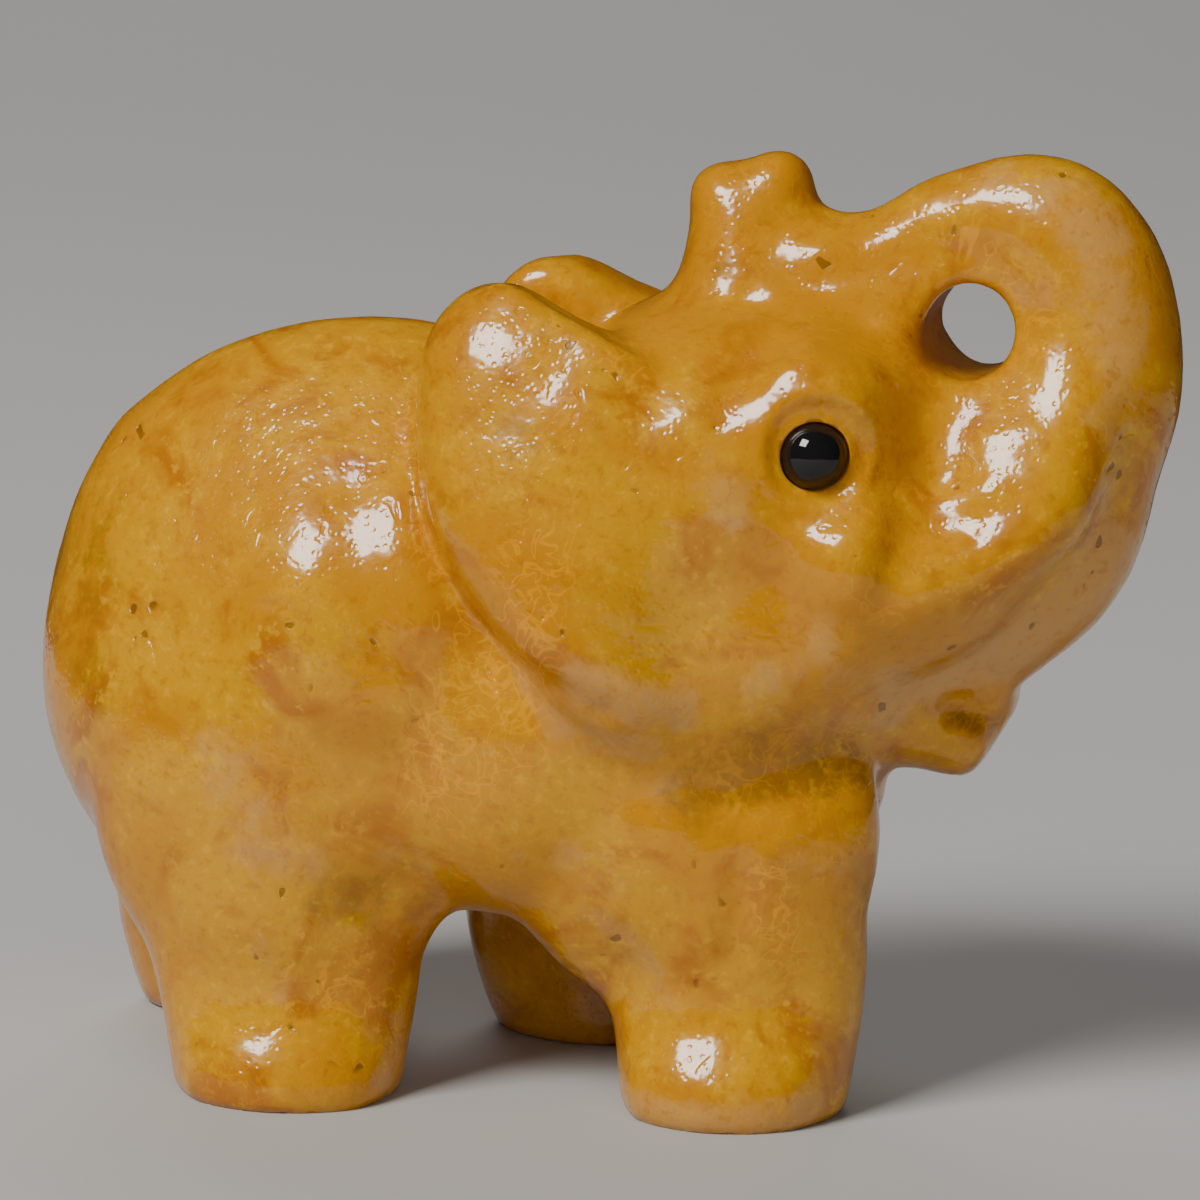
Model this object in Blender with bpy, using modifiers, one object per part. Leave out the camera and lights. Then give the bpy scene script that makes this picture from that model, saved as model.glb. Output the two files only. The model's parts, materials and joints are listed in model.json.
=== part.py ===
"""A small jasper elephant carving: one polished stone, with a bead set in each eye socket.

The elephant faces +X and stands on its four soles at z = 0. Blender 4.5, metres, +Z up.
"""

import math

import bmesh
import bpy
from mathutils import Matrix, Vector

# Driving size: the carving's length from rump to trunk, just under two inches.
CARVING_LENGTH = 0.0503

# The carver's grid: the free forms below are drawn on a side view 50.3 squares long.
GRID_SQUARES = 50.3
GRID = CARVING_LENGTH / GRID_SQUARES

# Sizes of their own, in metres.
BEAD_DIAMETER = 0.0028
SOCKET_CLEARANCE = 0.0003
BEAD_SINK = 0.0002
DISH_DIAMETER = 0.0042
DISH_DEPTH = 0.0005
TRUNK_HOLE_DIAMETER = 0.0040

# Where the trunk's hole and the eyes are drilled on the grid, and how far forward an eye's drill leans.
HOLE_X, HOLE_Z = 16.3, 33.0
EYE_X, EYE_Z = 10.7, 28.4
EYE_LEAN = 18

# How the stone is worked: lengths as shares of the grid, then polishing passes.
ROUGH_VOXEL = 0.45 * GRID
FINE_VOXEL = 0.35 * GRID
SOLE_GRIND = 0.2 * GRID
ROUGH_POLISH = 8
FINE_POLISH = 4
STONE_TRIANGLES = 8500

NEAR, FAR = -1, 1


def at(x, y, z):
    """A point of the carver's grid, in metres."""
    return Vector((x, y, z)) * GRID


def clear_scene():
    for old in list(bpy.data.objects):
        bpy.data.objects.remove(old)


def link(name, data):
    obj = bpy.data.objects.new(name, data)
    bpy.context.scene.collection.objects.link(obj)
    return obj


def only(obj):
    """Makes obj the one selected and active object."""
    bpy.ops.object.select_all(action="DESELECT")
    obj.select_set(True)
    bpy.context.view_layer.objects.active = obj


def apply_modifier(obj, modifier):
    only(obj)
    bpy.ops.object.modifier_apply(modifier=modifier.name)


def to_mesh(guide, name):
    """Turns a curve guide into a mesh of its own, welds its caps and removes the guide."""
    graph = bpy.context.evaluated_depsgraph_get()
    made = link(name, bpy.data.meshes.new_from_object(guide.evaluated_get(graph)))
    made.matrix_world = guide.matrix_world
    bpy.data.objects.remove(guide)
    only(made)
    bpy.ops.object.transform_apply(location=True, rotation=True, scale=True)
    welded = bmesh.new()
    welded.from_mesh(made.data)
    bmesh.ops.remove_doubles(welded, verts=welded.verts, dist=1e-6)
    welded.to_mesh(made.data)
    welded.free()
    return made


def bezier(data, points, cyclic=False):
    spline = data.splines.new("BEZIER")
    spline.bezier_points.add(len(points) - 1)
    spline.use_cyclic_u = cyclic
    for knot, point in zip(spline.bezier_points, points):
        knot.co = point
        knot.handle_left_type = knot.handle_right_type = "AUTO"
    return spline


def ellipsoid(centre, radii, turn=(0, 0, 0)):
    """A rounded mass: centre and radii in grid squares, turn in degrees."""
    bpy.ops.mesh.primitive_uv_sphere_add(
        segments=40,
        ring_count=24,
        radius=1,
        location=at(*centre),
        rotation=[math.radians(angle) for angle in turn],
    )
    mass = bpy.context.object
    mass.scale = at(*radii)
    bpy.ops.object.transform_apply(location=True, rotation=True, scale=True)
    return mass


def limb(points, radii, flatten=1.0):
    """A tapering rounded bar through the points, squeezed in Y about its first point."""
    data = bpy.data.curves.new("limb_guide", "CURVE")
    data.dimensions = "3D"
    data.resolution_u = 10
    data.bevel_depth = GRID
    data.bevel_resolution = 8
    data.use_fill_caps = True
    middle = points[0][1]
    spline = bezier(data, [at(x, (y - middle) / flatten, z) for x, y, z in points])
    for knot, radius in zip(spline.bezier_points, radii):
        knot.radius = radius
    guide = link("limb_guide", data)
    guide.location.y = middle * GRID
    guide.scale.y = flatten
    bpy.context.view_layer.update()
    return to_mesh(guide, "limb")


def slab(outline, y_inner, y_outer, rounding):
    """A piece sawn to a side-view outline of (x, z), with rounded edges, between two depths."""
    data = bpy.data.curves.new("slab_guide", "CURVE")
    data.dimensions = "2D"
    data.fill_mode = "BOTH"
    data.resolution_u = 8
    data.extrude = (abs(y_outer - y_inner) / 2 - rounding) * GRID
    data.bevel_depth = rounding * GRID
    data.bevel_resolution = 4
    data.offset = -rounding * GRID
    bezier(data, [(x * GRID, z * GRID, 0) for x, z in outline], cyclic=True)
    guide = link("slab_guide", data)
    guide.rotation_euler.x = math.radians(90)
    guide.location = at(0, (y_inner + y_outer) / 2, 0)
    bpy.context.view_layer.update()
    return to_mesh(guide, "slab")


def join(pieces):
    only(pieces[0])
    for piece in pieces:
        piece.select_set(True)
    bpy.ops.object.join()
    return bpy.context.object


def work(stone, voxel, passes):
    """Evens the surface out and polishes it."""
    remesh = stone.modifiers.new("even_out", "REMESH")
    remesh.mode = "VOXEL"
    remesh.voxel_size = voxel
    apply_modifier(stone, remesh)
    polish = stone.modifiers.new("polish", "SMOOTH")
    polish.factor = 0.5
    polish.iterations = passes
    apply_modifier(stone, polish)


def cut(stone, cutter):
    difference = stone.modifiers.new("cut", "BOOLEAN")
    difference.operation = "DIFFERENCE"
    difference.object = cutter
    apply_modifier(stone, difference)
    bpy.data.objects.remove(cutter)


def body_masses():
    return [
        ellipsoid((-9.9, 0, 21.0), (14.4, 11.5, 11.7)),
        ellipsoid((-13.2, 0, 17.4), (11.9, 10.8, 12.4)),
        ellipsoid((-18.5, 0, 25.2), (4.3, 5.2, 4.2)),
        ellipsoid((-1.4, 0, 17.2), (10.5, 10.4, 10.4)),
        ellipsoid((-2.4, NEAR * 4.6, 14.4), (9.0, 5.4, 6.8)),
        ellipsoid((-2.4, FAR * 4.6, 14.4), (9.0, 5.4, 6.8)),
        ellipsoid((6.6, 0, 13.2), (6.0, 7.0, 5.0)),
        limb(
            [(-19.6, 0, 28.6), (-23.0, 0, 24.2), (-24.5, 0, 18.2), (-23.5, 0, 12.2)],
            [0.6, 0.9, 0.9, 1.2],
        ),
    ]


def narrow_back(body):
    """Slopes the flanks in towards the spine, from the widest line of the belly up."""
    work(body, ROUGH_VOXEL, 2)
    for vertex in body.data.vertices:
        rise = max(vertex.co.z / GRID - 13, 0) / 14.4
        vertex.co.y *= 1 - 0.48 * (1 - math.exp(-1.3 * rise**2))
    return body


def leg_masses():
    thighs = [
        ellipsoid((-12.6, NEAR * 6.0, 13.2), (8.6, 4.7, 10.4)),
        ellipsoid((-15.8, FAR * 5.8, 13.4), (7.6, 4.7, 9.0)),
        ellipsoid((4.6, NEAR * 4.8, 12.8), (8.6, 4.6, 9.6), (0, -25, 0)),
        ellipsoid((1.4, FAR * 5.0, 13.4), (8.4, 4.5, 8.6), (0, 15, 0)),
    ]
    shanks = [
        limb([(-13.3, -6.0, 14), (-12.4, -6.3, 7), (-12.1, -7.0, -1)], [6.4, 6.3, 4.9], 0.72),
        limb([(-16.2, 5.8, 14), (-18.7, 5.6, 7), (-18.2, 6.9, -1)], [6.0, 5.6, 4.8], 0.72),
        limb([(5.2, -4.8, 14), (7.0, -4.8, 7), (7.2, -5.6, -1)], [6.4, 5.9, 4.8], 0.72),
        limb([(0.4, 4.8, 14), (-2.4, 5.3, 7), (-1.2, 6.2, -1)], [6.4, 5.3, 4.5], 0.72),
    ]
    feet = [
        ellipsoid((-11.9, NEAR * 6.8, 0.8), (4.8, 4.3, 5.2)),
        ellipsoid((-18.2, FAR * 6.9, 0.8), (4.7, 4.3, 5.2)),
        ellipsoid((7.1, NEAR * 5.6, 0.8), (4.6, 4.1, 5.2)),
        ellipsoid((-1.3, FAR * 6.3, 0.8), (4.4, 4.1, 5.2)),
    ]
    return thighs + shanks + feet


def head_masses():
    return [
        ellipsoid((6.2, 0, 26.0), (9.8, 10.2, 8.6)),
        limb([(6.5, 0, 23.4), (12.5, 0, 23.4), (17.5, 0, 24.6)], [9.7, 7.9, 5.0]),
        ellipsoid((11.4, 0, 30.2), (5.6, 5.6, 5.0)),
        ellipsoid((7.4, 0, 19.8), (8.6, 9.8, 6.6)),
        ellipsoid((10.4, 0, 22.4), (6.4, 8.7, 6.2)),
        ellipsoid((15.8, 0, 31.8), (4.6, 3.4, 5.2)),
        ellipsoid((15.4, 0, 27.2), (6.0, 5.2, 5.2)),
        limb([(8.0, 0, 19.0), (13.0, 0, 18.2), (17.5, 0, 15.5)], [6.6, 4.7, 2.4], 1.1),
    ] + cheek_masses()


def cheek_masses():
    """On each side: the broad cheek and brow round the eye, and the ridges under the eye and along the trunk."""
    cheeks = []
    for side in (NEAR, FAR):
        cheeks.append(ellipsoid((6.0, side * 4.0, 26.0), (7.0, 6.3, 7.0)))
        cheeks.append(ellipsoid((8.0, side * 4.2, 21.5), (6.5, 5.4, 5.5)))
        cheeks.append(ellipsoid((9.2, side * 3.6, 28.0), (6.2, 4.8, 6.2)))
        cheeks.append(ellipsoid((10.6, side * 5.6, 30.2), (3.4, 3.2, 2.8)))
        cheeks.append(ellipsoid((18.4, side * 2.6, 28.0), (3.4, 3.2, 3.2)))
        under_eye = [(11.0, side * 5.6, 27.0), (12.0, side * 6.4, 24.0), (11.6, side * 5.8, 20.0)]
        cheeks.append(limb(under_eye, [2.4, 3.2, 3.0]))
        ridge = [
            (9.5, side * 5.2, 22.0),
            (14.2, side * 5.2, 22.4),
            (18.0, side * 4.2, 24.6),
            (20.4, side * 2.6, 29.0),
            (21.0, side * 1.0, 32.5),
        ]
        cheeks.append(limb(ridge, [3.8, 3.4, 2.8, 2.6, 2.6]))
    return cheeks


def trunk_masses():
    sweep = limb(
        [
            (12.5, 0, 22.5),
            (17.6, 0, 23.0),
            (20.6, 0, 27.8),
            (21.5, 0, 32.6),
            (19.5, 0, 36.9),
            (15.9, 0, 37.3),
            (12.2, 0, 35.8),
            (8.4, 0, 35.0),
        ],
        [6.4, 4.7, 3.7, 3.5, 3.3, 2.4, 2.0, 2.8],
    )
    knob = limb([(6.9, 0, 32), (6.9, 0, 35.4), (6.5, 0, 38.2)], [4.4, 3.4, 2.5])
    lips = [
        ellipsoid((7.8, 0, 38.7), (1.6, 2.0, 1.7)),
        ellipsoid((5.6, 0, 38.4), (1.8, 2.2, 1.4)),
    ]
    return [sweep, knob] + lips


def ear_masses():
    outline = [
        (-4.4, 34.4),
        (-2.4, 35.0),
        (0.4, 33.7),
        (4.0, 32.0),
        (6.8, 28.0),
        (7.0, 21.0),
        (6.4, 15.2),
        (3.2, 16.2),
        (-0.6, 19.4),
        (-3.9, 24.0),
        (-5.7, 28.7),
        (-5.8, 32.2),
    ]
    ears = []
    for side, back in ((NEAR, -0.3), (FAR, -0.6)):
        shape = [(x + back, z) for x, z in outline]
        ears.append(bow_ear(slab(shape, side * 5.0, side * 11.3, 2.0)))
    return ears


def bow_ear(ear):
    """Leans a flat ear in at its top and rounds it over the side of the head, most at its front."""
    work(ear, ROUGH_VOXEL, 2)
    for vertex in ear.data.vertices:
        along = vertex.co.x / GRID - 1
        up = vertex.co.z / GRID - 25
        curve = 0.36 if along > 0 else 0.14
        vertex.co.y *= 1 - curve * (along / 7) ** 2 - 0.15 * up / 10 - 0.15 * (up / 10) ** 2
    return ear


def crease_behind_ears(stone):
    """A rounded groove that sets each ear off from the shoulder."""
    path = [
        (-7.0, 9.1, 29.6),
        (-6.3, 10.7, 26.2),
        (-4.3, 11.6, 22.2),
        (-0.9, 11.9, 18.2),
        (3.4, 11.4, 15.2),
    ]
    for side in (NEAR, FAR):
        cut(stone, limb([(x, side * y, z) for x, y, z in path], [0.9, 1.1, 1.2, 1.2, 1.0]))


def open_mouth(stone):
    """A shallow slot under the trunk, scooped wider at both corners of the mouth."""
    cut(stone, ellipsoid((19.6, 0, 17.3), (1.7, 4.0, 0.6), (0, 15, 0)))
    for side in (NEAR, FAR):
        cut(stone, ellipsoid((17.0, side * 4.1, 17.0), (1.8, 1.7, 0.9), (0, 15, 0)))


def drill_trunk(stone):
    """The hole between the curled trunk and the brow, flared towards the brow at both mouths."""
    radius = TRUNK_HOLE_DIAMETER / 2
    middle = (HOLE_X, 0, HOLE_Z)
    bpy.ops.mesh.primitive_cylinder_add(
        vertices=40,
        radius=radius,
        depth=24 * GRID,
        location=at(*middle),
        rotation=(math.radians(90), 0, 0),
    )
    cut(stone, bpy.context.object)
    for side in (NEAR, FAR):
        cut(stone, limb([(HOLE_X - 2.4, side * 7.2, HOLE_Z), middle], [radius / GRID / 2] * 2))


def eye_axis(side):
    lean = math.radians(EYE_LEAN)
    return Vector((math.sin(lean), side * math.cos(lean), 0))


def eye_point(stone, side):
    """Where the eye drill meets the face."""
    bpy.context.view_layer.update()
    axis = eye_axis(side)
    start = at(EYE_X, side * 7, EYE_Z) + axis * 20 * GRID
    return stone.ray_cast(start, -axis)[1]


def dish_eye(stone, side, point):
    """Hollows the shallow dish around the eye."""
    radius = (DISH_DIAMETER**2 / 4 + DISH_DEPTH**2) / (2 * DISH_DEPTH)
    bpy.ops.mesh.primitive_uv_sphere_add(
        segments=64,
        ring_count=32,
        radius=radius,
        location=point + eye_axis(side) * (radius - DISH_DEPTH),
        rotation=eye_axis(side).to_track_quat("Z", "Y").to_euler(),
    )
    cut(stone, bpy.context.object)


def bead_centre(side, point):
    return point - eye_axis(side) * (DISH_DEPTH + BEAD_SINK)


def drill_eye(stone, side, point):
    """Drills the round socket that the bead stands in."""
    inner = BEAD_DIAMETER / 2 + SOCKET_CLEARANCE
    outer = 6 * GRID
    bpy.ops.mesh.primitive_cylinder_add(
        vertices=32,
        radius=inner,
        depth=inner + outer,
        location=bead_centre(side, point) + eye_axis(side) * (outer - inner) / 2,
        rotation=eye_axis(side).to_track_quat("Z", "Y").to_euler(),
    )
    cut(stone, bpy.context.object)


def set_bead(side, point, name, stone):
    bpy.ops.mesh.primitive_uv_sphere_add(
        segments=20,
        ring_count=12,
        radius=BEAD_DIAMETER / 2,
        location=bead_centre(side, point),
        rotation=eye_axis(side).to_track_quat("Z", "Y").to_euler(),
    )
    bead = bpy.context.object
    bead.name = bead.data.name = name
    bead.parent = stone
    return bead


def trim_soles(stone, height):
    """Grinds the four feet flat at one height."""
    bpy.ops.mesh.primitive_cube_add(size=1, location=at(0, 0, -10) + Vector((0, 0, height)))
    floor = bpy.context.object
    floor.scale = at(80, 60, 20)
    bpy.ops.object.transform_apply(location=True, rotation=True, scale=True)
    cut(stone, floor)


def reduce(stone, triangles):
    stone.data.calc_loop_triangles()
    decimate = stone.modifiers.new("reduce", "DECIMATE")
    decimate.ratio = triangles / len(stone.data.loop_triangles)
    apply_modifier(stone, decimate)


def carve():
    body = narrow_back(join(body_masses()))
    stone = join([body] + leg_masses() + head_masses() + trunk_masses() + ear_masses())
    stone.name = stone.data.name = "elephant"
    work(stone, ROUGH_VOXEL, ROUGH_POLISH)
    crease_behind_ears(stone)
    open_mouth(stone)
    drill_trunk(stone)
    eyes = [(side, eye_point(stone, side)) for side in (NEAR, FAR)]
    for side, point in eyes:
        dish_eye(stone, side, point)
    trim_soles(stone, -SOLE_GRIND)
    work(stone, FINE_VOXEL, FINE_POLISH)
    reduce(stone, STONE_TRIANGLES)
    for side, point in eyes:
        drill_eye(stone, side, point)
    trim_soles(stone, 0)
    return stone, eyes


def finish(obj, name, colour, roughness, metallic=0.0):
    """Gives a piece its own material and smooth shading."""
    material = bpy.data.materials.new(name)
    material.use_nodes = True
    shader = material.node_tree.nodes["Principled BSDF"]
    shader.inputs["Base Color"].default_value = (*colour, 1)
    shader.inputs["Roughness"].default_value = roughness
    shader.inputs["Metallic"].default_value = metallic
    material.diffuse_color = (*colour, 1)
    obj.data.materials.clear()
    obj.data.materials.append(material)
    obj.data.shade_smooth()
    obj.data.set_sharp_from_angle(angle=math.radians(50))


def gather(pieces):
    """Moves the finished pieces into the carving's own collection."""
    carving = bpy.data.collections.new("jasper_elephant")
    bpy.context.scene.collection.children.link(carving)
    for piece in pieces:
        for holder in list(piece.users_collection):
            holder.objects.unlink(piece)
        carving.objects.link(piece)


def centre(stone):
    """Puts the middle of the stone's plan over the origin, and returns where it was."""
    corners = [vertex.co for vertex in stone.data.vertices]
    middle = Vector(
        [(min(c[axis] for c in corners) + max(c[axis] for c in corners)) / 2 for axis in (0, 1)] + [0]
    )
    stone.data.transform(Matrix.Translation(-middle))
    return middle


def main():
    clear_scene()
    stone, eyes = carve()
    finish(stone, "polished_jasper", (0.50, 0.22, 0.012), 0.2)
    middle = centre(stone)
    pieces = [stone]
    for (side, point), name in zip(eyes, ("right_eye_bead", "left_eye_bead")):
        bead = set_bead(side, point - middle, name, stone)
        finish(bead, name + "_polish", (0.012, 0.012, 0.014), 0.06, 0.7)
        pieces.append(bead)
    gather(pieces)


if __name__ == "__main__":
    main()
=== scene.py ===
# %% [markdown]
# A small elephant carved from yellow jasper, dressed for its portrait
#
# The real object is one polished stone as long as a thumb, with a black bead set in each eye socket.
# Its solid form is already packed as a fixed frame: this script adds the finer relief and the finishes.
# The axes are the frame's own: the elephant faces +X and stands on z = 0. Lengths are in metres, apart
# from those in the tables of strokes, which are in millimetres.

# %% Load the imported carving
import json
import math

import bpy
import numpy as np
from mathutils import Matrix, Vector
from mathutils.bvhtree import BVHTree

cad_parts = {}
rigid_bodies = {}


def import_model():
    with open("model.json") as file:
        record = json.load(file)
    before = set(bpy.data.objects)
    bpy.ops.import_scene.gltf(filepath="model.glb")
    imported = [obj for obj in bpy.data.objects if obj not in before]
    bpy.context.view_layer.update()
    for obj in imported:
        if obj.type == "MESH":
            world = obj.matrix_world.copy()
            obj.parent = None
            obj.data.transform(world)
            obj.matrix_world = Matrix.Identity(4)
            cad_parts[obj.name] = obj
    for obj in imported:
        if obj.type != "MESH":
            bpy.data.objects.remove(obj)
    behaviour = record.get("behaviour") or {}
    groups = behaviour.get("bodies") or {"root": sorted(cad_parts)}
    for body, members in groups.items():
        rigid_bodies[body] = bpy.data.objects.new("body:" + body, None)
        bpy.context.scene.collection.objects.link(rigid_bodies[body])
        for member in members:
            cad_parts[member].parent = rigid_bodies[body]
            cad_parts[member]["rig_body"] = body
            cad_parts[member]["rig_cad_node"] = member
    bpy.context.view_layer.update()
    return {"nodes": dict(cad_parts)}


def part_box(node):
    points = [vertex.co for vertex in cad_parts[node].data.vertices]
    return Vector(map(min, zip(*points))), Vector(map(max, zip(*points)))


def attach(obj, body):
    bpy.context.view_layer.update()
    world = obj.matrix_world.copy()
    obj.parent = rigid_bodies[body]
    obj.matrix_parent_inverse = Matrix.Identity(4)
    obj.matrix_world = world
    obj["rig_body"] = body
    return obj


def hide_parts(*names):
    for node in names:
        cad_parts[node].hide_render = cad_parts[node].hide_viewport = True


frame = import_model()
MM = 0.001
NEAR, FAR = -1, 1

# %% [markdown]
# The camera comes first, because the finer relief is placed by where it shows in the photograph.
# The photograph was taken with a long lens, a little ahead of the elephant's right flank and a little
# above it.
# Blender's camera takes the same place: a target in the carving, a distance, and two angles round it.

# %% The camera
PHOTO_SIDE = 1200
AZIMUTH, ELEVATION, DISTANCE, LENS, SENSOR = math.radians(14), math.radians(10), 0.215, 149.4, 36.0
CLIP_START = 0.01
TARGET = Vector((0.000124, -0.000009, 0.0206))
back = Vector(
    (
        math.sin(AZIMUTH) * math.cos(ELEVATION),
        -math.cos(AZIMUTH) * math.cos(ELEVATION),
        math.sin(ELEVATION),
    )
)
right = Vector((math.cos(AZIMUTH), math.sin(AZIMUTH), 0))
up = back.cross(right)
bpy.ops.object.select_all(action="DESELECT")
bpy.ops.object.camera_add(location=TARGET + DISTANCE * back)
camera = bpy.context.object
camera.name = "camera"
camera.rotation_mode = "QUATERNION"
camera.rotation_quaternion = (-back).to_track_quat("-Z", "Y")
camera.data.lens = LENS
camera.data.sensor_width = SENSOR
camera.data.clip_start = CLIP_START
bpy.context.scene.camera = camera
print("camera, mm:", [round(v / MM, 1) for v in camera.location])


# %% [markdown]
# The studio is plain: a pale table, a dim even sky, and soft lights.
# The key light stands high on the left, in front. It is small enough to leave a clear window on the polish.
# Gloss mirrors whatever is round it, and too much of it would wash the stone's colour out. The floor is
# therefore a table top with a wide floor round it that doesn't show in gloss, and the lights that only
# fill the shadows don't show in gloss either.
# An area light is a glowing card: its size sets how soft the shadow is and how wide the gloss spot is.

# %% The floor, the sky and the lights
def node_material(name):
    """A new material with its shader, ready for nodes."""
    material = bpy.data.materials.new(name)
    material.use_nodes = True
    return material, material.node_tree, material.node_tree.nodes["Principled BSDF"]


def card_light(name, direction, distance, size, power, colour, in_gloss):
    """A square card of light that faces the carving from that direction: metres and watts."""
    direction = Vector(direction).normalized()
    bpy.ops.object.light_add(type="AREA", location=TARGET + direction * distance)
    light = bpy.context.object
    light.name = name
    light.data.shape = "SQUARE"
    light.data.size = size
    light.data.energy = power
    light.data.color = colour
    light.rotation_mode = "QUATERNION"
    light.rotation_quaternion = (-direction).to_track_quat("-Z", "Y")
    light.visible_glossy = in_gloss


TABLE_SIDE, TABLE_FORWARD, FLOOR_SIDE = 0.36, -0.07, 6.0
FLOOR_GREY, FLOOR_ROUGHNESS, FLOOR_GLOSS = (0.44, 0.435, 0.43, 1), 0.75, 0.2
SKY_STRENGTH = 0.025
floor_paint, _, floor_shader = node_material("pale_floor")
floor_shader.inputs["Base Color"].default_value = FLOOR_GREY
floor_shader.inputs["Roughness"].default_value = FLOOR_ROUGHNESS
floor_shader.inputs["Specular IOR Level"].default_value = FLOOR_GLOSS
bpy.ops.object.select_all(action="DESELECT")
bpy.ops.mesh.primitive_plane_add(size=TABLE_SIDE, location=(0, TABLE_FORWARD, 0))
table = bpy.context.object
table.name = "table_top"
bpy.ops.object.transform_apply(location=True)
bpy.ops.object.select_all(action="DESELECT")
bpy.ops.mesh.primitive_plane_add(size=FLOOR_SIDE, location=(0, TABLE_FORWARD, 0))
floor = bpy.context.object
floor.name = "floor_round_the_table"
bpy.ops.object.transform_apply(location=True)
bpy.ops.object.mode_set(mode="EDIT")
bpy.ops.mesh.select_all(action="SELECT")
bpy.ops.mesh.inset(thickness=(FLOOR_SIDE - TABLE_SIDE) / 2)
bpy.ops.mesh.delete(type="FACE")
bpy.ops.object.mode_set(mode="OBJECT")
floor.visible_glossy = False
for piece in (table, floor):
    piece.data.materials.append(floor_paint)

world = bpy.data.worlds.new("dim_sky")
world.use_nodes = True
world.node_tree.nodes["Background"].inputs["Color"].default_value = (1, 1, 1, 1)
world.node_tree.nodes["Background"].inputs["Strength"].default_value = SKY_STRENGTH
bpy.context.scene.world = world

LIGHTS = {
    # direction, distance, size, power, colour, whether it shows in gloss
    "key_light": ((-0.392, -0.574, 0.721), 0.90, 0.36, 9.8, (1, 0.97, 0.92), True),
    "front_fill": ((0.50, -0.84, 0.20), 1.20, 0.90, 6.0, (1, 0.98, 0.95), False),
    "back_light": ((-0.30, 0.85, 0.75), 1.40, 0.90, 8.0, (1, 1, 1), False),
}
for name, row in LIGHTS.items():
    card_light(name, *row)
print("table, floor, sky and", len(LIGHTS), "lights")

# %% [markdown]
# The solid carries the carving's true form in few faces, so polished light would show its facets.
# The stone is therefore a copy of the solid. Its loose triangles are welded, then laid out afresh as small
# even squares by a voxel Remesh, and smoothed until the facets are gone. A Subdivision Surface would keep
# the uneven triangles and ripple under gloss.
# The solid's eye sockets are wider than the real ones, so a plug fills each before the remesh,
# and a closer socket is drilled later.

# %% A fine copy of the stone
WELD = 0.001 * MM
VOXEL = 0.28 * MM
POLISH_PASSES, POLISH_FACTOR = 10, 0.5
EYE_LEAN = math.radians(18)
beads = {NEAR: "right_eye_bead", FAR: "left_eye_bead"}


def only(obj):
    """Makes obj the one selected and active object."""
    bpy.ops.object.select_all(action="DESELECT")
    obj.select_set(True)
    bpy.context.view_layer.objects.active = obj


def eye_axis(side):
    return Vector((math.sin(EYE_LEAN), side * math.cos(EYE_LEAN), 0))


def bead_middle(side):
    low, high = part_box(beads[side])
    return (low + high) / 2


def apply(obj, kind, **settings):
    """Adds a modifier, sets it and applies it."""
    modifier = obj.modifiers.new(kind.lower(), kind)
    for name, value in settings.items():
        setattr(modifier, name, value)
    only(obj)
    bpy.ops.object.modifier_apply(modifier=modifier.name)


def drill_bit(side, radius, top, depth, vertices=64):
    """A round bar on the eye's axis, from top above the bead's middle down to depth below it."""
    axis = eye_axis(side)
    bpy.ops.object.select_all(action="DESELECT")
    bpy.ops.mesh.primitive_cylinder_add(
        vertices=vertices,
        radius=radius,
        depth=top + depth,
        location=bead_middle(side) + axis * (top - depth) / 2,
        rotation=axis.to_track_quat("Z", "Y").to_euler(),
    )
    return bpy.context.object


stone = frame["nodes"]["elephant"].copy()
stone.data = stone.data.copy()
stone.name = stone.data.name = "jasper_stone"
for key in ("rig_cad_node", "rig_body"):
    del stone[key]
bpy.context.scene.collection.objects.link(stone)
only(stone)
bpy.ops.object.mode_set(mode="EDIT")
bpy.ops.mesh.select_all(action="SELECT")
bpy.ops.mesh.remove_doubles(threshold=WELD)
bpy.ops.object.mode_set(mode="OBJECT")

PLUG_RADIUS, PLUG_TOP, PLUG_DEPTH = 1.90 * MM, 0.80 * MM, 3.0 * MM
plugs = [drill_bit(side, PLUG_RADIUS, PLUG_TOP, PLUG_DEPTH) for side in (NEAR, FAR)]
only(stone)
for plug in plugs:
    plug.select_set(True)
bpy.ops.object.join()
apply(stone, "REMESH", mode="VOXEL", voxel_size=VOXEL)
apply(stone, "SMOOTH", factor=POLISH_FACTOR, iterations=POLISH_PASSES)
print("stone:", len(stone.data.vertices), "points")

# %% [markdown]
# The carver's last tools were a small grinding wheel and a polishing stick. Their marks are dents, ridges
# and soft folds, too shallow for the solid. Each is drawn here as a stroke: a few pixels of the photograph,
# followed from the camera to where they land on the stone. Points near the stroke move along their
# normals, most on the stroke itself and less with distance. Each stroke is mirrored to the hidden side,
# and weaker there.
# Sculpt brushes do the same by hand, but they need a window and can't be read back as numbers.

# %% Strokes on the stone
HIDDEN_SHARE = 0.6
BARELY_TOUCHED = 0.02


def refresh():
    """Reads the stone's points and normals, and a tree that finds the nearest one."""
    global points, normals, surface
    count = len(stone.data.vertices)
    points, normals = np.empty(count * 3), np.empty(count * 3)
    stone.data.vertices.foreach_get("co", points)
    stone.data.vertices.foreach_get("normal", normals)
    points, normals = points.reshape(-1, 3), normals.reshape(-1, 3)
    surface = BVHTree.FromObject(stone, bpy.context.evaluated_depsgraph_get())


def seen_at(pixel):
    """The point of the stone that shows at a pixel, or the nearest one to a pixel just off its outline."""
    across, down = (v - PHOTO_SIDE / 2 for v in pixel)
    ray = (right * across - up * down) * (SENSOR / LENS / PHOTO_SIDE) - back
    landed = surface.ray_cast(camera.location, ray.normalized())[0]
    return landed or surface.find_nearest(camera.location + ray * DISTANCE)[0]


def mirrored(path):
    return [surface.find_nearest(Vector((p.x, -p.y, p.z)))[0] for p in path]


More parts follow.
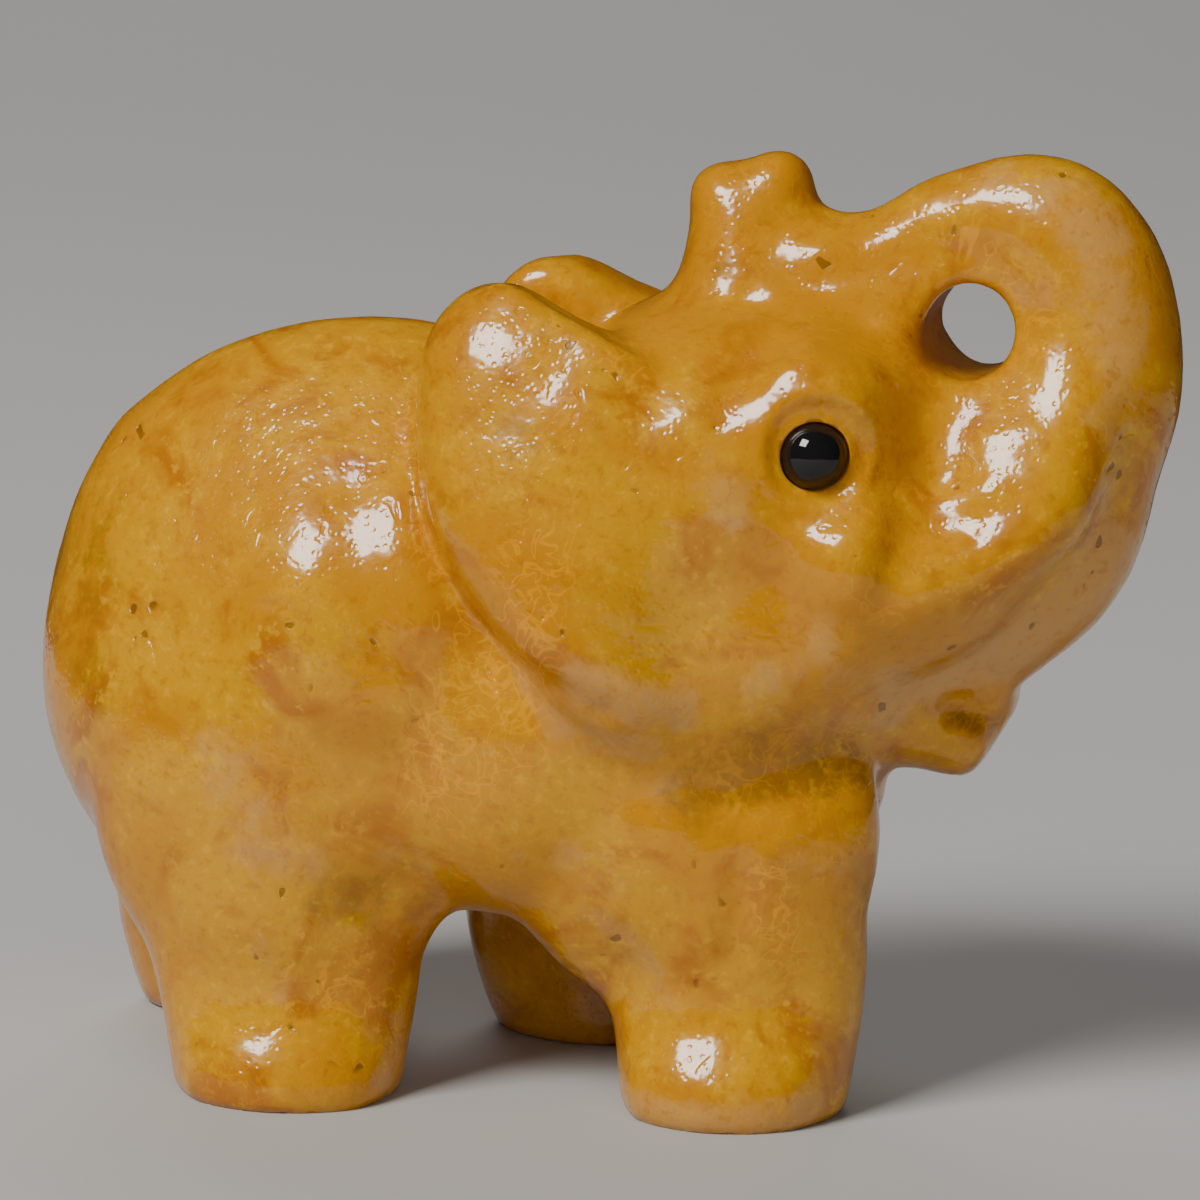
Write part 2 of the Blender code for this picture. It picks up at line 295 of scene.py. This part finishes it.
def distance_to(path):
    """How far each point of the stone lies from a path of points."""
    nearest = np.full(len(points), np.inf)
    for start, end in zip(path, path[1:] or path):
        start, span = np.array(start), np.array(end - start)
        along = (points - start) @ span / max(span @ span, 1e-12)
        foot = start + np.clip(along, 0, 1)[:, None] * span
        nearest = np.minimum(nearest, np.linalg.norm(points - foot, axis=1))
    return nearest


def touch(pixels, width, hidden=HIDDEN_SHARE):
    """How much a stroke touches each point: 1 on the stroke, fading out over its width."""
    path = [seen_at(pixel) for pixel in pixels]
    touched = np.exp(-((distance_to(path) / width) ** 2))
    if hidden:
        touched = np.maximum(touched, hidden * np.exp(-((distance_to(mirrored(path)) / width) ** 2)))
    return touched


def push(amounts):
    """Moves the points along their normals by these metres. The soles stay flat on the table."""
    moved = points + normals * amounts[:, None]
    moved[:, 2] = np.maximum(moved[:, 2], 0)
    stone.data.vertices.foreach_set("co", moved.ravel())
    stone.data.update()
    refresh()


def polish_out(pixels, width, passes, hidden=1.0):
    """Rubs the stone smooth along a stroke."""
    group = stone.vertex_groups.new(name="rubbed")
    for index, share in enumerate(touch(pixels, width, hidden)):
        if share > BARELY_TOUCHED:
            group.add([index], float(share), "REPLACE")
    apply(stone, "SMOOTH", factor=POLISH_FACTOR, iterations=passes, vertex_group="rubbed")
    stone.vertex_groups.remove(stone.vertex_groups["rubbed"])
    refresh()


refresh()
RUBBED = {
    # path of pixels, width in millimetres, passes
    "ear's front edge": ([(700, 440), (700, 560), (705, 660), (700, 720)], 2.4, 160),
    "under the ear": ([(600, 760), (680, 760), (760, 745)], 2.0, 60),
}
for pixels, width, passes in RUBBED.values():
    polish_out(pixels, width * MM, passes)
print("rubbed out:", ", ".join(RUBBED))

# %% [markdown]
# Each fold has a path of pixels, a width and a height in millimetres. A height below zero is a dent.
# The chips are small and sit only where the photograph shows them.

# %% The folds, dents and ridges
FOLDS = {
    "crease behind the ear": ([(428, 470), (436, 540), (462, 600), (505, 655)], 0.55, -0.16),
    "shoulder fold": ([(405, 505), (412, 560), (428, 610)], 1.4, 0.30),
    "neck fold": ([(516, 659), (560, 690), (600, 713)], 0.7, -0.26),
    "jaw fold": ([(540, 640), (600, 680), (660, 705)], 1.0, 0.16),
    "hollow under the jaw": ([(730, 800), (780, 775), (830, 765)], 1.9, -0.55),
    "chin line": ([(690, 770), (640, 790)], 1.4, -0.22),
    "ear crest": ([(500, 292), (555, 322), (600, 348), (640, 370)], 0.7, 0.28),
    "dent under the crest": ([(560, 365), (610, 388), (650, 405)], 1.1, -0.22),
    "ear scoop": ([(520, 400), (560, 430), (580, 490)], 2.2, -0.22),
    "ear lobe": ([(455, 345), (470, 380)], 1.9, 0.20),
    "crease under the shelf": ([(745, 300), (800, 318), (865, 324)], 0.6, -0.25),
    "knob facet": ([(770, 238)], 1.4, -0.30),
    "knob shelf": ([(825, 268), (885, 288)], 1.5, 0.50),
    "saddle facet": ([(800, 250), (875, 245)], 0.8, 0.16),
    "brow ridge": ([(748, 425), (772, 385), (805, 358)], 0.9, 0.20),
    "brow hollow": ([(720, 430), (735, 380), (770, 340)], 1.3, -0.20),
    "cheek": ([(660, 415), (695, 410)], 1.7, 0.18),
    "under the eye": ([(850, 545), (852, 580)], 1.7, 0.45),
    "tear line": ([(760, 520), (775, 580), (800, 620)], 1.3, -0.16),
    "trunk ridge": ([(915, 590), (960, 578), (1015, 560)], 1.2, 0.30),
    "trunk ridge end": ([(1035, 528), (1060, 515)], 2.2, 0.50),
    "cheek hollow": ([(885, 590), (890, 570)], 1.0, -0.15),
    "trunk groove": ([(900, 532), (960, 524), (1010, 506)], 0.8, -0.24),
    "upper trunk fold": ([(925, 505), (985, 495)], 1.2, 0.34),
    "dent above the fold": ([(920, 425), (985, 415)], 1.6, -0.34),
    "trunk undercut": ([(905, 650), (990, 622), (1060, 570), (1105, 520)], 1.3, -0.20),
    "trunk dent": ([(1040, 395), (1075, 360)], 1.7, -0.14),
    "thumb scoop": ([(955, 714), (1000, 722)], 1.0, -0.38),
    "flank": ([(345, 560)], 4.6, 1.20),
    "valley behind the shoulder": ([(352, 500), (358, 570), (372, 650)], 1.5, -0.30),
    "haunch fold": ([(330, 760), (345, 830), (370, 890)], 1.5, -0.22),
    "deep haunch": ([(330, 905), (395, 900)], 1.6, -0.24),
    "hind ankle": ([(195, 975), (260, 990), (330, 985)], 2.0, -0.42),
    "hind toes": ([(205, 1080), (270, 1095), (340, 1090)], 2.0, 0.50),
    "fore ankle": ([(640, 985), (700, 1000), (770, 995)], 2.0, -0.42),
    "fore toes": ([(650, 1095), (710, 1110), (780, 1100)], 2.0, 0.50),
    "fore leg groove": ([(742, 870), (738, 920), (728, 960)], 0.8, -0.24),
    "fore leg streak": ([(765, 870), (775, 960)], 1.0, 0.14),
    "elbow fold": ([(560, 850), (590, 900), (600, 960)], 1.3, -0.12),
}
CHIPS = [(552, 953), (573, 970), (1055, 600), (1030, 640), (948, 545), (972, 538), (905, 580), (820, 200)]
CHIP_WIDTH, CHIP_DEPTH = 0.35 * MM, 0.10 * MM
amounts = np.zeros(len(points))
for pixels, width, height in FOLDS.values():
    amounts += height * MM * touch(pixels, width * MM)
for pixel in CHIPS:
    amounts -= CHIP_DEPTH * touch([pixel], CHIP_WIDTH, hidden=0)
push(amounts)
print(len(FOLDS), "folds, most moved, mm:", round(float(abs(amounts).max()) / MM, 2))

# %% [markdown]
# Stone polished by hand is never quite even. Gloss shows it: the bright spots break into ragged clusters.
# A Displace modifier with a soft Clouds texture moves the surface by a few hundredths of a millimetre,
# first in broad low waves, and then in the small dimples that a polishing stick can't reach.

# %% Hand polish
WAVES = {"broad": (3.2 * MM, 0.06 * MM), "close": (0.9 * MM, 0.022 * MM)}
for name, (size, height) in WAVES.items():
    clouds = bpy.data.textures.new(name + "_waves", "CLOUDS")
    clouds.noise_scale = size
    clouds.noise_basis = "BLENDER_ORIGINAL"
    apply(stone, "DISPLACE", texture=clouds, texture_coords="LOCAL", strength=height, mid_level=0.5)
refresh()
print("hand polish:", ", ".join(WAVES))

# %% [markdown]
# Each eye sits in a shallow round dish with a raised rim, and the bead fills its socket almost tightly.
# The dish is pressed in by distance from the eye's own axis, and the socket is drilled with a Boolean.

# %% The eye dishes and sockets
DISH_RADIUS, DISH_DEPTH, RIM_HEIGHT = 2.1 * MM, 0.30 * MM, 0.10 * MM
DISH_UP, DISH_FORWARD, DISH_EDGE = 0.30 * MM, 0.12 * MM, 0.10 * MM
RIM_OUT, RIM_WIDTH, EYE_REACH = 0.25 * MM, 0.32 * MM, 3 * MM
SOCKET_RADIUS, SOCKET_TOP, SOCKET_DEPTH = 1.45 * MM, 5.0 * MM, 1.7 * MM


def round_eye(side, up_shift, forward_shift):
    """How far each point lies from the eye's axis, and 1 on the eye's own side of the head."""
    axis = eye_axis(side)
    forward = axis.cross(Vector((0, 0, side)))
    middle = bead_middle(side) + Vector((0, 0, up_shift)) + forward * forward_shift
    offset = points - np.array(middle)
    depth = offset @ np.array(axis)
    return np.linalg.norm(offset - depth[:, None] * np.array(axis), axis=1), abs(depth) < EYE_REACH


amounts = np.zeros(len(points))
for side in (NEAR, FAR):
    away, local = round_eye(side, DISH_UP, DISH_FORWARD)
    amounts -= local * DISH_DEPTH / (1 + np.exp((away - DISH_RADIUS) / DISH_EDGE))
    amounts += local * RIM_HEIGHT * np.exp(-(((away - DISH_RADIUS - RIM_OUT) / RIM_WIDTH) ** 2))
push(amounts)
for side in (NEAR, FAR):
    bit = drill_bit(side, SOCKET_RADIUS, SOCKET_TOP, SOCKET_DEPTH, vertices=96)
    apply(stone, "BOOLEAN", operation="DIFFERENCE", object=bit)
    bpy.data.objects.remove(bit)
refresh()
print("two dishes, sockets, mm:", 2 * SOCKET_RADIUS / MM)

# %% [markdown]
# Jasper owes its look to what lies in the stone: pinkish clouds, deeper olive and amber patches, and fine
# orange veins. Where the photograph shows them, they are painted as strokes too, into attributes of the
# mesh. A few strokes paint light into the colour instead: the deep strokes under the jaw, in the haunch
# groove, in the mouth and along the rump's left edge are painted shade, the vein stroke along the crease
# behind the ear is painted shade in deep orange, and the cloud strokes on the trunk's underside and along
# the fore foot's lower edge are a painted reflection of the pale table. The material breaks their edges
# up with noise and adds weaker ones of its own all over, so the hidden side goes on in the same stone.
# Each row is a path of pixels, a width in millimetres and a strength.

# %% Paint the clouds, the deep patches and the veins, with some painted shade and painted reflection
PAINT = {
    "cloud_and_reflection": [
        ([(1000, 185), (1060, 200), (1110, 250), (1122, 330), (1118, 420)], 1.9, 0.85),
        # painted reflection: the pale table mirrored on the trunk's underside
        ([(900, 695), (990, 660), (1055, 618), (1110, 560)], 1.9, 1.3),
        ([(1010, 290), (1035, 295)], 0.9, 0.8),
        ([(725, 480), (735, 510)], 1.5, 0.8),
        ([(575, 680), (640, 705), (680, 715)], 1.3, 1.0),
        ([(520, 670), (580, 730), (640, 750)], 1.4, 0.75),
        ([(765, 690), (790, 670)], 1.3, 0.7),
        ([(820, 640), (835, 680)], 1.3, 0.7),
        ([(670, 790), (700, 800)], 1.4, 0.6),
        ([(215, 760), (250, 840), (300, 860)], 1.9, 0.75),
        ([(260, 960), (280, 990)], 1.3, 0.6),
        ([(400, 850), (450, 880)], 1.4, 0.45),
        ([(530, 850), (590, 870), (620, 940), (660, 990)], 1.5, 0.55),
        ([(740, 870), (850, 860)], 1.3, 0.5),
        # painted reflection: the pale table mirrored along the fore foot's lower edge
        ([(640, 1110), (720, 1120), (810, 1108)], 1.2, 0.9),
        ([(380, 1080), (385, 1100)], 0.9, 0.8),
        ([(290, 600), (330, 640)], 1.8, 0.35),
        ([(800, 440), (870, 470)], 1.6, 0.35),
        ([(630, 280), (620, 275)], 0.8, 0.5),
    ],
    "deep": [
        ([(520, 430), (525, 450)], 1.3, 0.6),
        # painted shade in the hollow under the jaw
        ([(705, 790), (770, 770), (840, 760)], 1.9, 0.9),
        # painted shade in the groove between the belly and the hind leg
        ([(330, 905), (400, 905)], 1.8, 0.6),
        ([(765, 875), (780, 950)], 1.5, 0.5),
        ([(870, 940), (865, 880)], 1.2, 0.6),
        # painted shade along the rump's left edge, where it turns away from the light
        ([(100, 520), (90, 640), (105, 760)], 2.2, 0.5),
        ([(735, 250), (700, 300)], 1.3, 0.35),
        # painted shade in the mouth's scoop
        ([(955, 714), (995, 724)], 0.7, 0.9),
    ],
    "vein_and_shade": [
        ([(470, 640), (500, 700), (470, 790)], 2.2, 1.0),
        ([(540, 560), (520, 640), (510, 760)], 2.0, 0.9),
        ([(440, 700), (430, 800)], 1.6, 0.9),
        # painted shade: a deep orange flush along the crease behind the ear
        ([(415, 400), (425, 480), (440, 560)], 1.3, 0.9),
        ([(520, 340), (560, 420)], 1.6, 0.5),
        ([(320, 960), (350, 1010)], 1.6, 0.7),
        ([(960, 230), (990, 262), (1040, 300), (1040, 360)], 1.3, 0.7),
        ([(930, 380), (990, 390)], 1.3, 0.5),
        ([(860, 600), (900, 610)], 1.6, 0.5),
        ([(770, 880), (785, 960)], 1.2, 0.8),
        ([(590, 350), (640, 370)], 0.8, 0.8),
    ],
}
PAINT_HIDDEN, COUNTED_FROM = 0.55, 0.3
for name, strokes in PAINT.items():
    painted = np.zeros(len(points))
    for pixels, width, strength in strokes:
        painted = np.maximum(painted, strength * touch(pixels, width * MM, PAINT_HIDDEN))
    layer = stone.data.attributes.new(name, "FLOAT", "POINT")
    layer.data.foreach_set("value", painted)
    print(name, "covers", round(float((painted > COUNTED_FROM).mean()) * 100), "% of the stone")

# %% [markdown]
# The jasper's shader reads those three attributes. Noise on Object coordinates breaks each one's edge,
# and a colour mix for each lays it over the golden ground. Light enters polished jasper a little way,
# so some subsurface scattering softens the shadows and warms the thin edges. Burley's method is the
# quicker one.
# The skin of the polish is a bump: an even peel of noise, fine pricks from a Voronoi texture, and sparks
# and rare pits from the peaks of one more noise. They break the bright spots into grains, as on the stone.

# %% The jasper
class Nodes:
    """Adds shader nodes to a tree in short lines."""

    def __init__(self, tree):
        self.tree = tree

    def add(self, kind, **settings):
        node = self.tree.nodes.new("ShaderNode" + kind)
        for name, value in settings.items():
            setattr(node, name, value)
        return node

    def feed(self, socket, value):
        """Sets a number or colour as it is, and another node's socket by a link."""
        if isinstance(value, bpy.types.NodeSocket):
            self.tree.links.new(value, socket)
        else:
            socket.default_value = value

    def set(self, node, values):
        """Feeds a node's sockets by name."""
        for name, value in values.items():
            self.feed(node.inputs[name], value)
        return node

    def noise(self, place, scale, detail=2.0, roughness=0.5, distortion=0.0):
        node = self.set(
            self.add("TexNoise"),
            {
                "Vector": place,
                "Scale": scale,
                "Detail": detail,
                "Roughness": roughness,
                "Distortion": distortion,
            },
        )
        return node.outputs["Fac"]

    def between(self, value, low, high):
        """Turns low to high into 0 to 1, with soft ends."""
        node = self.add("MapRange", interpolation_type="SMOOTHSTEP")
        return self.set(node, {"Value": value, "From Min": low, "From Max": high}).outputs["Result"]

    def spread(self, value, low, high, new_low, new_high):
        """Turns low to high into new_low to new_high."""
        ends = {"From Min": low, "From Max": high, "To Min": new_low, "To Max": new_high}
        return self.set(self.add("MapRange"), {"Value": value, **ends}).outputs["Result"]

    def math(self, operation, first, second=0.0):
        node = self.add("Math", operation=operation)
        for socket, value in zip(node.inputs, (first, second)):
            self.feed(socket, value)
        return node.outputs[0]

    def mix(self, share, under, over):
        node = self.add("Mix", data_type="RGBA")
        for name, value in (("Factor", share), ("A", under), ("B", over)):
            self.feed([s for s in node.inputs if s.name == name and s.enabled][0], value)
        return [s for s in node.outputs if s.enabled][0]


GOLD = (0.51, 0.208, 0.0, 1)
AMBER = (0.40, 0.132, 0.0, 1)
HONEY = (0.56, 0.265, 0.0, 1)
PALE_GRAIN = (0.70, 0.36, 0.01, 1)
# The pinkish cloud colour serves for the stone's pale clouds and for a painted reflection of the table on
# the trunk's underside and the fore foot's lower edge.
PINK_CLOUD_AND_REFLECTION = (0.53, 0.265, 0.062, 1)
# The olive colour serves for the stone's darker patches and for painted shade in hollows and along the
# rump's edge.
OLIVE_AND_SHADE = (0.20, 0.085, 0.0, 1)
# The deep orange colour serves for the stone's veined zones and for painted shade along the crease behind
# the ear.
DEEP_ORANGE_AND_SHADE = (0.50, 0.18, 0.0, 1)
VEIN = (0.78, 0.32, 0.0, 1)
PIT_DARK = (0.07, 0.03, 0.004, 1)
SKIN_DEPTH = 0.018 * MM

jasper, tree, shader = node_material("yellow_jasper")
n = Nodes(tree)
place = n.add("TexCoord").outputs["Object"]
layers = {name: n.add("Attribute", attribute_name=name).outputs["Fac"] for name in PAINT}

tone = n.noise(place, 130, 3, 0.62, 0.8)
colour = n.mix(n.between(tone, 0.42, 0.62), GOLD, HONEY)
colour = n.mix(n.between(n.noise(place, 210, 3, 0.65, 1.2), 0.48, 0.70), colour, AMBER)
ragged = n.math("MULTIPLY", n.math("SUBTRACT", n.noise(place, 520, 4, 0.68), 0.5), 1.9)
drift = n.noise(place, 95, 2, 0.6)
stray = n.math("MULTIPLY", n.between(drift, 0.58, 0.80), 0.30)
# The cloud layer: the stone's pale clouds, and a painted reflection of the table on the trunk's underside
# and the fore foot's lower edge.
cloud_and_reflection = n.math("ADD", n.math("MAXIMUM", layers["cloud_and_reflection"], stray), ragged)
colour = n.mix(n.math("MULTIPLY", n.between(cloud_and_reflection, 0.32, 1.0), 0.85), colour, PINK_CLOUD_AND_REFLECTION)
# The deep layer: the stone's darker olive patches, and painted shade under the jaw, in the haunch groove,
# in the mouth and along the rump's left edge.
deep = n.math("ADD", layers["deep"], ragged)
colour = n.mix(n.math("MULTIPLY", n.between(deep, 0.25, 1.0), 0.75), colour, OLIVE_AND_SHADE)
# The vein layer's deep orange flush: the stone's veined zones, and painted shade along the crease behind
# the ear.
flush_and_shade = n.math("MULTIPLY", n.between(n.math("ADD", layers["vein_and_shade"], ragged), 0.2, 1.1), 0.55)
colour = n.mix(flush_and_shade, colour, DEEP_ORANGE_AND_SHADE)

grain = n.noise(place, 1700, 2, 0.7)
pale = n.math("MULTIPLY", n.between(grain, 0.54, 0.70), n.between(tone, 0.38, 0.60))
colour = n.mix(n.math("MULTIPLY", pale, 0.55), colour, PALE_GRAIN)
colour = n.mix(n.math("MULTIPLY", n.between(grain, 0.46, 0.30), 0.45), colour, AMBER)


def threads(scale, wind, thin):
    """Fine winding lines: where a noise crosses its middle value."""
    off = n.math("ABSOLUTE", n.math("SUBTRACT", n.noise(place, scale, 2, 0.55, wind), 0.5))
    return n.math("SUBTRACT", 1.0, n.between(off, thin / 4, thin))


wisp = n.math("MULTIPLY", n.between(drift, 0.50, 0.42), 0.4)
fibres = n.math("MAXIMUM", threads(300, 1.4, 0.020), threads(560, 1.0, 0.022))
veined = n.math("MULTIPLY", fibres, n.math("MAXIMUM", n.between(layers["vein_and_shade"], 0.15, 0.7), wisp))
colour = n.mix(n.math("MULTIPLY", veined, 0.5), colour, VEIN)

zone = n.noise(place, 430, 1, 0.6)
specks = n.noise(place, 1500, 0)
pit = n.math("MULTIPLY", n.between(specks, 0.74, 0.79), n.between(zone, 0.60, 0.66))
colour = n.mix(n.math("MULTIPLY", pit, 0.6), colour, PIT_DARK)

peel = n.math("MULTIPLY", n.noise(place, 950, 2, 0.62), 2.0)
cells = n.set(n.add("TexVoronoi"), {"Vector": place, "Scale": 2900}).outputs["Distance"]
dots = n.math("SUBTRACT", 1.0, n.between(cells, 0.08, 0.42))
pricks = n.math("MULTIPLY", dots, n.between(zone, 0.20, 0.45))
spark = n.math("MULTIPLY", n.between(specks, 0.60, 0.72), n.between(zone, 0.46, 0.56))
skin = peel
for dent, depth in ((pricks, 0.6), (spark, 0.9), (pit, 2.5)):
    skin = n.math("SUBTRACT", skin, n.math("MULTIPLY", dent, depth))
bump = n.set(n.add("Bump"), {"Height": skin, "Strength": 1.0, "Distance": SKIN_DEPTH})
shader.subsurface_method = "BURLEY"
n.set(
    shader,
    {
        "Base Color": colour,
        "Roughness": n.spread(zone, 0.3, 0.7, 0.26, 0.42),
        "Normal": bump.outputs["Normal"],
        "Subsurface Weight": 0.35,
        "Subsurface Radius": (1.0, 0.42, 0.05),
        "Subsurface Scale": 1.3 * MM,
        "IOR": 1.54,
        "Specular IOR Level": 0.1,
        "Coat Weight": 0.8,
        "Coat Roughness": 0.12,
        "Coat IOR": 1.6,
        "Coat Normal": bump.outputs["Normal"],
    },
)
only(stone)
bpy.ops.object.shade_smooth()
stone.data.materials.clear()
stone.data.materials.append(jasper)
print("jasper:", len(tree.nodes), "nodes")

# %% [markdown]
# The eyes are round black beads, polished like a mirror.
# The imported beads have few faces, so each gets a finer one of the same size in the same place.

# %% The eye beads
BEAD_SEGMENTS, BEAD_RINGS, SMOOTH_BELOW = 72, 40, math.radians(40)
JET, SOFT_JET = (0.004, 0.004, 0.005, 1), (0.012, 0.011, 0.012, 1)
bead_polish, bead_tree, bead_shader = node_material("black_bead")
b = Nodes(bead_tree)
bead_place = b.add("TexCoord").outputs["Object"]
smear = b.spread(b.noise(bead_place, 900, 4, 0.6), 0.35, 0.7, 0.02, 0.07)
shade = b.mix(b.noise(bead_place, 500, 3), JET, SOFT_JET)
scratches = b.noise(bead_place, 3200, 3)
scuff = b.set(b.add("Bump"), {"Height": scratches, "Strength": 0.3, "Distance": 0.002 * MM})
b.set(
    bead_shader,
    {
        "Base Color": shade,
        "Roughness": smear,
        "Normal": scuff.outputs["Normal"],
        "IOR": 1.5,
    },
)
eyes = []
for side in (NEAR, FAR):
    low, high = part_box(beads[side])
    radius = (high - low).z / 2
    bpy.ops.object.select_all(action="DESELECT")
    bpy.ops.mesh.primitive_uv_sphere_add(
        segments=BEAD_SEGMENTS, ring_count=BEAD_RINGS, radius=radius, location=bead_middle(side)
    )
    bead = bpy.context.object
    bead.name = bead.data.name = beads[side] + "_polished"
    bpy.ops.object.transform_apply(location=True, rotation=True, scale=True)
    bpy.ops.object.shade_smooth_by_angle(angle=SMOOTH_BELOW)
    bead.data.materials.append(bead_polish)
    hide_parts(beads[side])
    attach(bead, "root")
    eyes.append(bead)
    print(bead.name, "mm across:", round(2 * radius / MM, 2))

# %% [markdown]
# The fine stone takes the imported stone's place.

# %% Finish
def triangles(obj):
    obj.data.calc_loop_triangles()
    return len(obj.data.loop_triangles)


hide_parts("elephant")
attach(stone, "root")
print("triangles:", {piece.name: triangles(piece) for piece in (stone, *eyes)})
